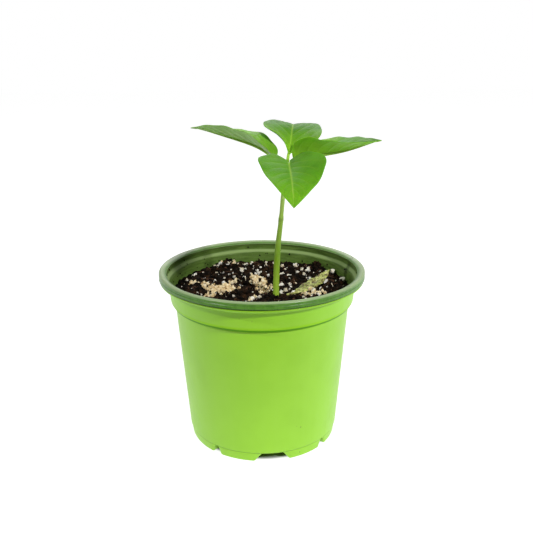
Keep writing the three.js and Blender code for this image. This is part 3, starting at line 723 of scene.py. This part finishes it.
def build_pot():
    """The cup as one closed sheet: lime outside, dark green over the lip and inside."""
    angle = np.linspace(0, 2 * np.pi, POT_SEGMENTS, endpoint=False)
    notch = notch_share(angle)
    outside = fillet(OUTSIDE)[1:]
    inside = fillet(INSIDE)[1:-1]
    profile = [(r, z, FLOOR_Z) for r, z in outside] + [(r, z, FLOOR_Z + SHEET) for r, z in inside]
    points = [[0, 0, FLOOR_Z]]
    for radius, z, roof in profile:
        lifted = z + max(roof - z, 0) * notch
        points += np.stack([radius * np.sin(angle), -radius * np.cos(angle), lifted], axis=1).tolist()
    points.append([0, 0, FLOOR_Z + SHEET])
    faces = ring_faces(len(profile), POT_SEGMENTS)
    pot = make_piece("pot_sheet", points, faces, lime_plastic(), "pot_plastic")
    pot.data.materials.append(lip_green())
    pot.data.materials.append(inside_green())
    lip_row = next(i for i, (_, z, _) in enumerate(profile) if z > TWO_TONE_Z) - 1
    rows = np.digitize(range(len(profile) - 1), [lip_row, len(outside)])
    tones = np.append(np.repeat(rows, POT_SEGMENTS), [0, 2] * POT_SEGMENTS)
    pot.data.polygons.foreach_set("material_index", tones)
    cut(pot, drain_slots())
    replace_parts(pot, "pot")


# ---------- leaves


def heading(azimuth, rise):
    a = np.radians(azimuth)
    e = np.radians(rise)
    return np.stack([np.sin(a) * np.cos(e), -np.cos(a) * np.cos(e), np.sin(e)], axis=-1)


def along_path(path, place):
    """Points along a path. Whole numbers are the places of its own points."""
    return np.stack([np.interp(place, np.arange(len(path)), path[:, k]) for k in range(3)], axis=-1)


def walk(start, length, headings):
    """Points along a path that takes even steps along the headings."""
    steps = np.cumsum(headings * length / len(headings), axis=0)
    return np.vstack([start, start + steps])


def leaf_lines(leaf):
    """Middle lines of the stalk and of the blade."""
    start = np.array(leaf["base"], float)
    t = (np.arange(6) + 0.5) / 6
    rise = leaf["petiole_rise"] + (leaf["rise"][0] - leaf["petiole_rise"]) * t * t
    stalk = walk(start, leaf["petiole"], heading(np.full_like(t, leaf["azimuth"]), rise))
    t = (np.arange(60) + 0.5) / 60
    headings = heading(leaf["azimuth"] + leaf["turn"] * t, through_even(leaf["rise"], t))
    blade = walk(stalk[-1], leaf["length"], headings)
    return stalk, blade


def outline_share(leaf, t):
    """Half width of a blade as a share of its widest."""
    return smooth_through(leaf.get("outline_at", LEAF_OUTLINE_AT), leaf["outline"], t)


def blade_surface(leaf, blade, t, u):
    """Points of the blade's middle surface. t runs from base to tip, u from edge to edge (-1 to 1)."""
    tip = 0.12
    middle = along_path(blade, t * (len(blade) - 1))
    along = heading(leaf["azimuth"] + leaf["turn"] * t, through_even(leaf["rise"], t))
    side = unit(np.cross(along, UP))
    lift = np.cross(side, along)
    roll = np.radians(through_even(leaf["roll"], t))[..., None]
    side, lift = side * np.cos(roll) + lift * np.sin(roll), lift * np.cos(roll) - side * np.sin(roll)
    left = u < 0
    share = outline_share(leaf, t)
    width = np.maximum(np.where(left, *leaf["half_width"]) * share, tip)
    fold = through_even(leaf["fold"], t) + np.where(left, through_even(leaf["left_fold"], t), 0)
    fold = np.radians(fold)
    curl = leaf["curl"] + np.where(left, leaf["left_curl"], 0)
    height, count, phase = leaf["wave"]
    wave = height * u * u * share * np.sin(2 * np.pi * count * t + phase + u)
    rise = np.abs(u) * width * np.sin(fold) + u * u * width * curl + wave
    back = leaf["lobe"] * u * u * (1 - t) ** 6
    return (
        middle
        + side * (u * width * np.cos(fold))[..., None]
        + lift * rise[..., None]
        - along * back[..., None]
    )


def closed_sheet(top, bottom):
    """Points and faces of a thin closed body between two grids of points."""
    rows, columns = top.shape[:2]
    under = rows * columns
    faces = grid_faces(rows, columns)
    faces += [face[::-1] for face in grid_faces(rows, columns, under)]
    grid = np.arange(under).reshape(rows, columns)
    rim = [*grid[0], *grid[1:, -1], *grid[-1, -2::-1], *grid[-2:0:-1, 0]]
    for a, b in zip(rim, rim[1:] + rim[:1]):
        faces.append((b, a, under + a, under + b))
    return np.vstack([top.reshape(-1, 3), bottom.reshape(-1, 3)]), faces


def build_blade(name, leaf, blade, material, slot, steps, thickness):
    """Blade with veins sunk above and raised below, and the surface domed between them."""
    t_line = 0.004 + 0.996 * np.linspace(0, 1, steps[0] + 1) ** 1.15
    t, u = np.meshgrid(t_line, np.linspace(-1, 1, steps[1] + 1), indexing="ij")
    middle = blade_surface(leaf, blade, t, u)
    normal = unit(np.cross(np.gradient(middle, axis=1), np.gradient(middle, axis=0)))
    reach = np.abs(u)
    width = np.where(u < 0, *leaf["half_width"]) * np.maximum(outline_share(leaf, t), 0.02)
    rib = bell(reach * width, 0, 0.75 - 0.5 * t) * smoothstep(-t, -1.0, -0.75)
    origin = t - (0.36 - 0.12 * t) * reach - 0.06 * reach**2.5
    lateral = VEIN_PAIRS * origin * (1 + 0.25 * origin) + np.where(u < 0, 0.18, 0.0) + 0.5
    off_vein = np.abs(lateral % 1 - 0.5)
    vein = np.maximum(rib, bell(off_vein, 0, 0.06) * (1 - reach) ** 0.7)
    dome = np.sin(np.pi * off_vein) * (1 - reach**4) * smoothstep(reach * width, 0.3, 3)
    relief = DOME * dome * smoothstep(t, 0.0, 0.1) - VEIN_SUNK * vein
    edge = np.minimum(1 - reach, np.minimum(t * 3, (1 - t) * 3))
    half = thickness * (0.2 + 0.3 * smoothstep(edge, 0.0, 0.06))
    top = middle + normal * (half + relief)[..., None]
    bottom = middle + normal * (relief - half - VEIN_RAISED * vein)[..., None]
    piece = make_piece(name, *closed_sheet(top, bottom), material, slot)
    for key, values in {"rib": rib, "lateral": lateral, "reach": reach, "along": t}.items():
        store(piece, key, np.concatenate([values.ravel()] * 2))
    store(piece, "under", np.repeat([0.0, 1.0], t.size))
    return piece


def grooved(angle):
    """Radius of a leaf stalk round it, as a share, with a shallow groove on its upper side."""
    return 1 - 0.16 * bell(np.minimum(angle, 2 * np.pi - angle), 0, 0.5)


def build_stalk(name, leaf, stalk, blade, material):
    """Leaf stalk, flared where it leaves the stem, grooved above, and carried on under the blade."""
    t = np.linspace(0, RIB_END, 46)[1:]
    rib = blade_surface(leaf, blade, t, np.zeros_like(t))
    path = along_path(stalk, np.linspace(0, len(stalk) - 1, 26))
    on_stalk = np.linspace(0, 1, len(path))
    radii = np.concatenate([
        STALK_RADIUS + STALK_FLARE * bell(on_stalk, 0, 0.2) - 0.1 * on_stalk,
        (STALK_RADIUS - 0.1) * (1 - t / RIB_END) ** 0.8 + 0.12,
    ])
    sink = np.concatenate([0.0 * on_stalk, (radii[len(path):] + 0.12) * smoothstep(t, -0.03, 0.08)])
    rod = rod_mesh(np.vstack([path, rib]) - UP * sink[:, None], radii, 20, grooved)
    make_piece(name, *rod, material, "leaf_green")


def build_leaves():
    # Base, middle, tip and underside tones of each blade. The left leaf's pale middle and tip are partly a
    # painted sheen, and the right leaf's very pale base and underside are partly painted light, lightened
    # where the leaf lies in shade.
    tones = {
        "leaf_front": ((106, 168, 48), (92, 162, 24), (124, 192, 16), (120, 172, 60)),
        "leaf_back": ((144, 204, 34), (76, 146, 16), (74, 140, 20), (110, 166, 60)),
        "leaf_left": ((112, 166, 34), (146, 202, 80), (140, 192, 80), (150, 196, 100)),
        "leaf_right": ((190, 240, 44), (98, 172, 16), (90, 156, 24), (158, 226, 58)),
    }
    stalks = stalk_green()
    for name, leaf in LEAVES.items():
        stalk, blade = leaf_lines(leaf)
        green = leaf_green(name + "_green", *tones[name])
        piece = build_blade(name + "_blade", leaf, blade, green, "leaf_green", BLADE_STEPS, BLADE_THICKNESS)
        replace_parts(piece, name)
        build_stalk(name + "_stalk", leaf, stalk, blade, stalks)


def build_fallen_leaf():
    withered = dry_leaf()
    _, blade = leaf_lines(FALLEN_LEAF)
    shape = (FALLEN_LEAF, blade, withered, "dry_leaf", FALLEN_STEPS, FALLEN_THICKNESS)
    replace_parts(build_blade("fallen_leaf_blade", *shape), "fallen_leaf")
    start = np.array(FALLEN_LEAF["base"])
    end = np.array(FALLEN_STALK_TO)
    s = np.linspace(-0.3, 1, 24)
    centres = start + (end - start) * s[:, None]
    centres += np.array([0.5, -0.6, 0.3]) * np.sin(np.pi * np.clip(s, 0, 1))[:, None]
    rod = rod_mesh(centres, 0.72 - 0.12 * s, 12)
    store(make_piece("fallen_leaf_stalk", *rod, withered, "dry_leaf"), "rib", np.zeros(len(rod[0])))


# ---------- stem


def ridged(angle):
    """Radius of the stem round it, as a share."""
    return 1 + 0.025 * np.cos(5 * angle) + 0.01 * np.cos(11 * angle)


def build_stem():
    """Stem with faint ridges, a ring where the seed leaves were shed, and a swollen top."""
    z = np.linspace(STEM_Z[0], STEM_Z[-1], 260)
    centres = np.stack([smooth_through(STEM_Z, STEM_X, z), smooth_through(STEM_Z, STEM_Y, z), z], axis=1)
    radii = smooth_through(STEM_Z, STEM_RADIUS, z)
    radii += 0.2 * bell(z, SCAR_Z, 1.8) - 0.05 * bell(z, SCAR_Z + 3.4, 1.2)
    radii += 0.04 * np.sin(0.35 * z) * smoothstep(z, 92, 100)
    rod = rod_mesh(centres, radii, 40, ridged)
    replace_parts(make_piece("stem_stalk", *rod, stem_green(), "stem_green"), "stem")


# ---------- soil


def soil_height(x, y):
    """Height of the crumbly surface. It climbs towards the back wall and dips round the stem."""
    lumps = (
        0.55 * np.sin(0.31 * x + 0.9) * np.sin(0.27 * y + 0.4)
        + 0.4 * np.sin(0.62 * x - 0.35 * y + 2)
        + 0.3 * np.sin(0.9 * y + 0.5 * x)
        + 0.22 * np.sin(1.7 * x + 1.1 * y + 0.3) * np.cos(1.3 * y - 0.6 * x)
    )
    dip = 0.5 * bell(np.hypot(x - STEM_X[1], y - STEM_Y[1]), 0, 6)
    return SOIL_Z + lumps + 0.7 * smoothstep(y, 20, 50) - dip


def soil_reach(z):
    """Radius of the soil at a height, a gap clear of the pot's wall."""
    heights, radii = zip(*WALL_OUTSIDE)
    return np.interp(z, heights, radii) - SHEET - WALL_GAP


def build_soil(material):
    """Closed plug of soil with a rough top."""
    angle = np.linspace(0, 2 * np.pi, SOIL_SEGMENTS, endpoint=False)
    around = np.stack([np.sin(angle), -np.cos(angle), 0 * angle], axis=1)
    rings = []
    for z in (SOIL_FLOOR_Z, WALL_OUTSIDE[1][0], WALL_OUTSIDE[2][0]):
        rings.append(around * (soil_reach(z) - SIDE_GAP) + UP * z)
    for radius in [soil_reach(SOIL_Z), *np.linspace(*SOIL_RINGS)]:
        flat = around * radius
        rough = sum(height * ripple(flat, scale, seed) for height, scale, seed in SOIL_ROUGH)
        rings.append(flat + UP * (soil_height(flat[:, 0], flat[:, 1]) + rough)[:, None])
    points = np.vstack([[[0, 0, SOIL_FLOOR_Z]]] + rings + [[[0, 0, soil_height(0.0, 0.0)]]])
    faces = ring_faces(len(rings), SOIL_SEGMENTS)
    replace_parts(make_piece("soil_bed", points, faces, material, "potting_soil"), "soil")


def grain_draws(seed):
    """For each grain, the three numbers from 0 to 1 that place and size it in the CAD's soil."""
    state = seed
    while True:
        draws = []
        for _ in range(DRAWS_PER_GRAIN):
            state = (state * 1664525 + 1013904223) % 2**32
            draws.append(state / 2**32)
        yield draws[:3]


def cad_grains():
    """Perlite grains and light crumbs of the CAD's soil, as (x, y, radius)."""
    source = grain_draws(SEED)
    perlite = []
    crumbs = []
    for i in range(PERLITE["count"]):
        turn, reach, share = next(source)
        angle = i * math.radians(GOLDEN_ANGLE) + turn
        radius = PERLITE["reach"] * math.sqrt((i + reach) / PERLITE["count"])
        size = PERLITE["least"] + (PERLITE["most"] - PERLITE["least"]) * share**2
        perlite.append((radius * math.cos(angle), radius * math.sin(angle), size))
    for (x, y), (reach_x, reach_y), count in PATCHES:
        for _ in range(count):
            turn, reach, share = next(source)
            angle = turn * 2 * math.pi
            off_x = reach_x * math.sqrt(reach) * math.cos(angle)
            off_y = reach_y * math.sqrt(reach) * math.sin(angle)
            crumbs.append((x + off_x, y + off_y, 0.8 + 0.8 * share))
    return perlite, crumbs


def lump(rng, level, roughness):
    """Points and faces of an irregular lump of radius 1."""
    mesh = bmesh.new()
    bmesh.ops.create_icosphere(mesh, subdivisions=level, radius=1.0)
    points = np.array([vertex.co[:] for vertex in mesh.verts])
    faces = [[vertex.index for vertex in face.verts] for face in mesh.faces]
    mesh.free()
    seed = rng.uniform(0, 50)
    push = ripple(points, 1.4, seed) + 0.5 * ripple(points, 3.1, seed)
    return points * (1 + roughness * push)[:, None], faces


def clear_of_plant(grains):
    """The grains that don't lie against the stem or on the fallen leaf."""
    foot = np.array(FALLEN_STALK_TO[:2])
    way = heading(FALLEN_LEAF["azimuth"], 0.0)[:2] * FALLEN_REACH
    kept = []
    for x, y, size in grains:
        off_foot = np.array([x, y]) - foot
        off_leaf = math.dist(off_foot, way * np.clip(off_foot.dot(way) / way.dot(way), 0, 1))
        off_stem = math.hypot(x - STEM_X[1], y - STEM_Y[1])
        if off_leaf > FALLEN_CLEARANCE + size and off_stem > STEM_CLEARANCE + size:
            kept.append((x, y, size))
    return kept


def clear_of_patches(grains):
    """The grains that neither lie on a pale patch nor hide it from the front."""
    kept = []
    for x, y, size in grains:
        clear = True
        for (middle_x, middle_y), reach, _ in PALE_CRUMBS:
            reach_x, reach_y = PATCH_REACH * np.array(reach)
            aside = abs(x - middle_x) > reach_x + size
            behind = y - middle_y > reach_y + size
            far_in_front = middle_y - y > reach_y + HIDDEN_BEHIND * size
            clear = clear and (aside or behind or far_in_front)
        if clear:
            kept.append((x, y, size))
    return kept


def scatter(name, rng, grains, shapes, material, stand, smooth=True):
    """One mesh of many lumps. grains are (x, y, radius); stand is how far up they stand, in radii."""
    bodies = []
    for x, y, size in grains:
        shape, faces = shapes[rng.integers(len(shapes))]
        turn = np.array(Euler(rng.uniform(0, 2 * np.pi, 3)).to_matrix())
        stretch = size * np.array([1, rng.uniform(0.65, 1), rng.uniform(0.6, 0.95)])
        inwards = min(1.0, (soil_reach(SOIL_Z) - OFF_WALL * size) / math.hypot(x, y))
        x *= inwards
        y *= inwards
        z = soil_height(x, y) + size * rng.uniform(*stand)
        bodies.append(((shape * stretch) @ turn.T + [x, y, z], faces))
    make_piece(name, *joined(bodies), material, "potting_soil", smooth)


def spread(rng, count, reach, least, most, power):
    """Grains spread over a disc, many small ones and few large ones."""
    angle = rng.uniform(0, 2 * np.pi, count)
    radius = reach * np.sqrt(rng.uniform(0, 1, count))
    size = least + (most - least) * rng.uniform(0, 1, count) ** power
    return np.stack([radius * np.cos(angle), radius * np.sin(angle), size], axis=1)


def gathered(rng, least, most):
    """Fine crumbs round the middle of each pale patch."""
    grains = []
    for middle, reach, count in PALE_CRUMBS:
        places = np.array(middle) + rng.normal(0, 1, (count, 2)) * reach
        grains += [(x, y, rng.uniform(least, most)) for x, y in places]
    return grains


def build_fibres(rng, material):
    """Short bark fibres and twigs lying on the soil."""
    rods = []
    for x, y, size in spread(rng, *FIBRES):
        way = rng.uniform(0, 2 * np.pi)
        s = np.linspace(-1, 1, 9)
        bend = rng.uniform(-0.35, 0.35)
        px = x + size * (s * math.cos(way) - bend * s * s * math.sin(way))
        py = y + size * (s * math.sin(way) + bend * s * s * math.cos(way))
        pz = soil_height(px, py) + rng.uniform(0.3, 1.0) + 0.3 * size * s * rng.uniform(-0.5, 0.5)
        radii = rng.uniform(0.12, 0.32) * (1 - 0.5 * s * s)
        rods.append(rod_mesh(np.stack([px, py, pz], axis=1), radii, 6))
    make_piece("soil_fibres", *joined(rods), material, "potting_soil")


def build_wall_specks(rng, material, shapes):
    """Crumbs stuck to the inside of the wall above the soil, and heaps that lean against it."""
    places = []
    for _ in range(WALL_SPECKS["count"]):
        angle = rng.uniform(0, 2 * np.pi)
        z = WALL_SPECKS["from"] + WALL_SPECKS["spread"] * rng.uniform(0, 1) ** 2
        places.append((angle, z, 0.05, rng.uniform(*WALL_SPECKS["size"])))
    for x, y in HEAPS:
        for _ in range(HEAP["count"]):
            aside = rng.normal(0, 0.055)
            depth = HEAP["depth"] * rng.uniform(0, 1) ** 1.5
            top = HEAP["foot"] + HEAP["rise"] * bell(aside, 0, 0.08) * (1 - depth / 5)
            z = rng.uniform(HEAP["from"], top)
            places.append((math.atan2(x, -y) + aside, z, depth + 0.4, rng.uniform(*HEAP["size"])))
    bodies = []
    for angle, z, depth, size in places:
        radius = np.interp(z, *zip(*WALL_INSIDE)) - depth
        shape, faces = shapes[rng.integers(len(shapes))]
        place = [radius * math.sin(angle), -radius * math.cos(angle), z]
        bodies.append((shape * size + place, faces))
    make_piece("wall_specks", *joined(bodies), material, "potting_soil", False)


def build_ground():
    """The soil, its crumbs, perlite, grit and fibres."""
    rng = np.random.default_rng(SEED)
    earth = peat()
    white = perlite_white()
    tan = tan_grit()
    bark = bark_brown()
    rough = [lump(rng, 2, 0.9) for _ in range(12)]
    clods = [lump(rng, 3, 0.7) for _ in range(10)]
    perlite, crumbs = cad_grains()
    build_soil(earth)
    small = clear_of_plant(spread(rng, *SOIL_CRUMBS))
    big = clear_of_patches(clear_of_plant(spread(rng, *SOIL_CLUMPS)))
    scatter("soil_crumbs", rng, small, rough, earth, (0.1, 0.8), False)
    scatter("soil_clumps", rng, big, clods, earth, (-0.5, 0.25))
    scatter("stem_clods", rng, DARK_CLODS, clods, earth, (0.0, 0.5))
    pale = [(x > 4 or y > 14) and rng.uniform() < PALE_SHARE for x, y, _ in perlite]
    for name, chosen, look in (("perlite_grains", True, white), ("dark_grains", False, earth)):
        grains = [grain for grain, is_pale in zip(perlite, pale) if is_pale == chosen]
        scatter(name, rng, grains, clods, look, (0.3, 0.6))
    scatter("perlite_lumps", rng, PALE_LUMPS, clods, white, (0.5, 0.8))
    bits = clear_of_plant(spread(rng, *PERLITE_BITS))
    bits = [bit for bit in bits if bit[0] > -4 or bit[1] > 10 or rng.uniform() < FRONT_LEFT_SHARE]
    scatter("perlite_bits", rng, bits, rough, white, (0.8, 1.5), False)
    scatter("bark_bits", rng, clear_of_plant(spread(rng, *BARK_BITS)), rough, bark, (0.8, 1.6), False)
    scatter("tan_grains", rng, crumbs, clods, tan, (0.3, 0.7))
    scatter("tan_crumbs", rng, clear_of_plant(gathered(rng, *TAN_CRUMB)), rough, tan, (0.8, 1.8), False)
    build_fibres(rng, bark)
    build_wall_specks(rng, earth, rough)


# ---------- floor, lights and camera


def build_floor():
    """White light table that the pot stands on, its glow cut out under the pot as a painted shadow."""
    corners = np.array([(-1, -1, 0), (1, -1, 0), (1, 1, 0), (-1, 1, 0)])
    mesh = new_mesh("floor", corners * FLOOR_HALF / MM, [(0, 1, 2, 3)])
    p = Paint("floor_white")
    # the glow fades out under the pot: a painted shadow
    glow = p.times(p.ranged(p.position("Y"), *FLOOR_GLOW), p.ranged(p.off_axis(), *UNDER_POT_SHADOW))
    light = {"Specular_IOR_Level": 0.0, "Emission_Color": (1, 1, 1, 1), "Emission_Strength": glow}
    mesh.materials.append(p.finish((0.35, 0.35, 0.35, 1), 0.9, **light))
    put(mesh)


def build_lights():
    """Soft lights, each aimed at the pot."""
    target = Vector((0, 0, LIGHT_TARGET_Z))
    for name, (azimuth, elevation, size, watts) in LIGHTS.items():
        data = bpy.data.lights.new(name, "AREA")
        data.shape = "ELLIPSE"
        data.size, data.size_y = size
        data.energy = watts
        light = put(data)
        away = Vector(heading(azimuth, elevation))
        light.location = target + away * LIGHT_AWAY
        light.rotation_euler = (-away).to_track_quat("-Z", "Y").to_euler()


def build_world():
    """Studio: white low down behind the pot, grey above that, dark overhead and in front."""
    world = bpy.data.worlds.new("studio")
    world.use_nodes = True
    nodes = Nodes(world.node_tree)
    way = nodes.add("TexCoord").outputs["Generated"]
    parts = nodes.add("SeparateXYZ", {0: way}).outputs
    behind = nodes.ranged(parts["Y"], *SKY_EDGES["behind"])
    low = nodes.ranged(parts["Z"], *SKY_EDGES["low"], SKY["low"], SKY["behind"])
    below_top = nodes.ranged(parts["Z"], *SKY_EDGES["overhead"], 1.0, 0.0)
    back = nodes.times(behind, nodes.times(low, below_top))
    strength = nodes.math("MAXIMUM", back, SKY["front"])
    background = world.node_tree.nodes["Background"].inputs
    nodes.feed(background["Color"], (1, 1, 1, 1))
    nodes.feed(background["Strength"], strength)
    bpy.context.scene.world = world
    bpy.context.scene.view_settings.view_transform = "Standard"


def build_camera():
    """Camera in front of the pot, a little above it and looking down."""
    data = bpy.data.cameras.new("camera")
    data.sensor_fit = "HORIZONTAL"
    data.lens = FOCAL_PIXELS / FRAME_PIXELS * data.sensor_width
    data.clip_start = 0.01
    place = Matrix.Translation((0, -CAMERA["distance"] * MM, CAMERA["height"] * MM))
    for axis, angle in (("Z", -CAMERA["yaw"]), ("X", 90 - CAMERA["pitch"]), ("Z", -CAMERA["roll"])):
        place = place @ Matrix.Rotation(math.radians(angle), 4, axis)
    camera = put(data)
    camera.matrix_world = place
    bpy.context.scene.camera = camera


build_camera()
build_lights()
build_world()
build_floor()
build_pot()
build_ground()
build_stem()
build_leaves()
build_fallen_leaf()
